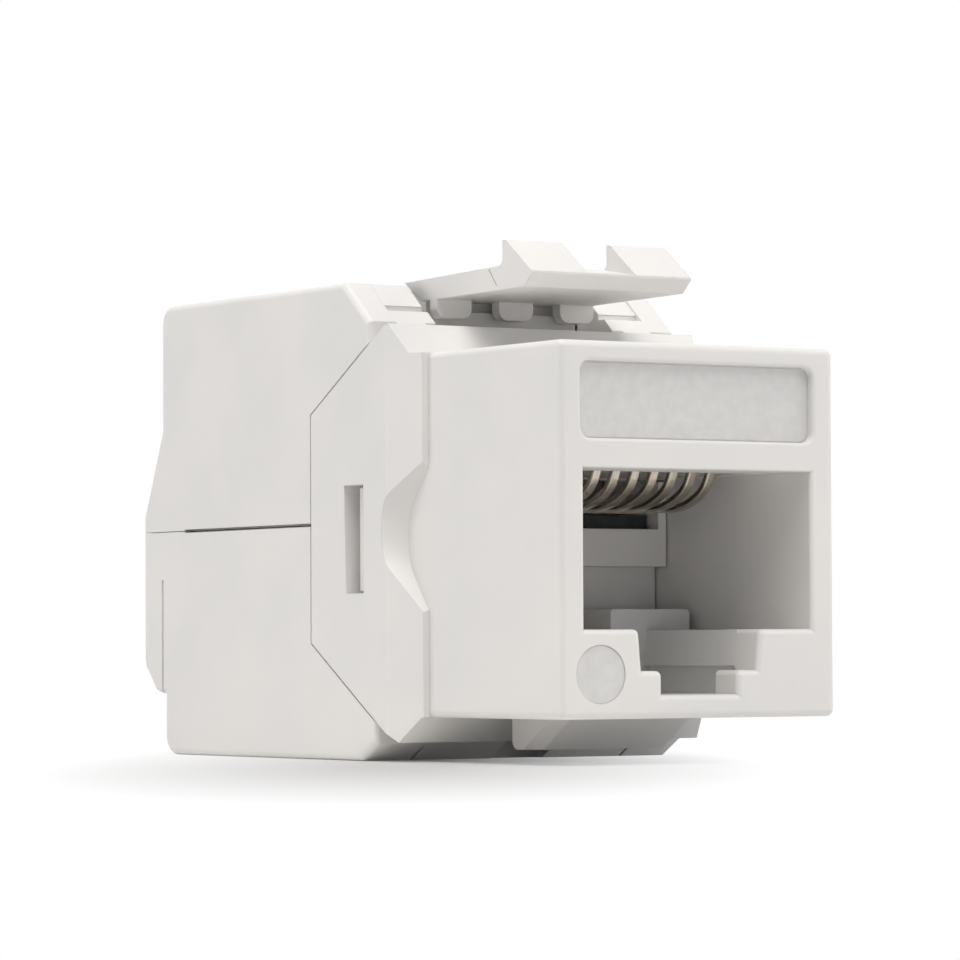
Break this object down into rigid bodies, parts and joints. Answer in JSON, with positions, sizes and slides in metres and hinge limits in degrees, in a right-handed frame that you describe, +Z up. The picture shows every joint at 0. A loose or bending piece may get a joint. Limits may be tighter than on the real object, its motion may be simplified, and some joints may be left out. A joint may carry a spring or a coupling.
{
  "type": "keystone jack",
  "caption": "Toolless keystone jack: plug port with spring contacts, panel latch, and two hinged wire caps over insulation-displacement terminals.",
  "frame": {"origin": "bottom centre of the bounding box: the flat underside of the lower wire cap is at z = 0", "axes": "+Y from the plug face to the cable end, +Z up towards the panel latch, +X across to the right seen from the plug face"},
  "size_m": [0.0166, 0.0346, 0.023],
  "materials": {
    "white_plastic": "fine matte, moulded",
    "terminal_block_plastic": "matte, moulded",
    "circuit_board": "glossy solder mask",
    "gold_plating": "polished plating",
    "tinned_bronze": "satin tin"
  },
  "bodies": {
    "housing": {"front_housing": "white_plastic", "contact_carrier": "white_plastic", "circuit_board": "circuit_board", "idc_block_upper": "terminal_block_plastic", "idc_block_lower": "terminal_block_plastic", "idc_terminal_1": "tinned_bronze", "idc_terminal_2": "tinned_bronze", "idc_terminal_3": "tinned_bronze", "idc_terminal_4": "tinned_bronze", "idc_terminal_5": "tinned_bronze", "idc_terminal_6": "tinned_bronze", "idc_terminal_7": "tinned_bronze", "idc_terminal_8": "tinned_bronze"},
    "upper_cap": {"upper_wire_cap": "white_plastic"},
    "lower_cap": {"lower_wire_cap": "white_plastic"},
    "latch": {"panel_latch": "white_plastic"},
    "contacts": {"plug_contact_1": "gold_plating", "plug_contact_2": "gold_plating", "plug_contact_3": "gold_plating", "plug_contact_4": "gold_plating", "plug_contact_5": "gold_plating", "plug_contact_6": "gold_plating", "plug_contact_7": "gold_plating", "plug_contact_8": "gold_plating"}
  },
  "joints": [
    {"name": "upper_cap_hinge", "type": "hinge", "parent": "housing", "child": "upper_cap", "pos_m": [0, -0.00434, 0.01831], "axis": [1, 0, 0], "range_deg": [0, 60]},
    {"name": "lower_cap_hinge", "type": "hinge", "parent": "housing", "child": "lower_cap", "pos_m": [0, -0.00483, 0.00218], "axis": [-1, 0, 0], "range_deg": [0, 55]},
    {"name": "latch_flex", "type": "hinge", "parent": "housing", "child": "latch", "pos_m": [0, -0.0016, 0.02071], "axis": [1, 0, 0], "range_deg": [0, 10], "stiffness_Nm_per_rad": 0.05, "springref_deg": -2.86},
    {"name": "contact_spring", "type": "hinge", "parent": "housing", "child": "contacts", "pos_m": [0, -0.00435, 0.011], "axis": [-1, 0, 0], "range_deg": [0, 5], "stiffness_Nm_per_rad": 0.02, "springref_deg": -2.86}
  ]
}
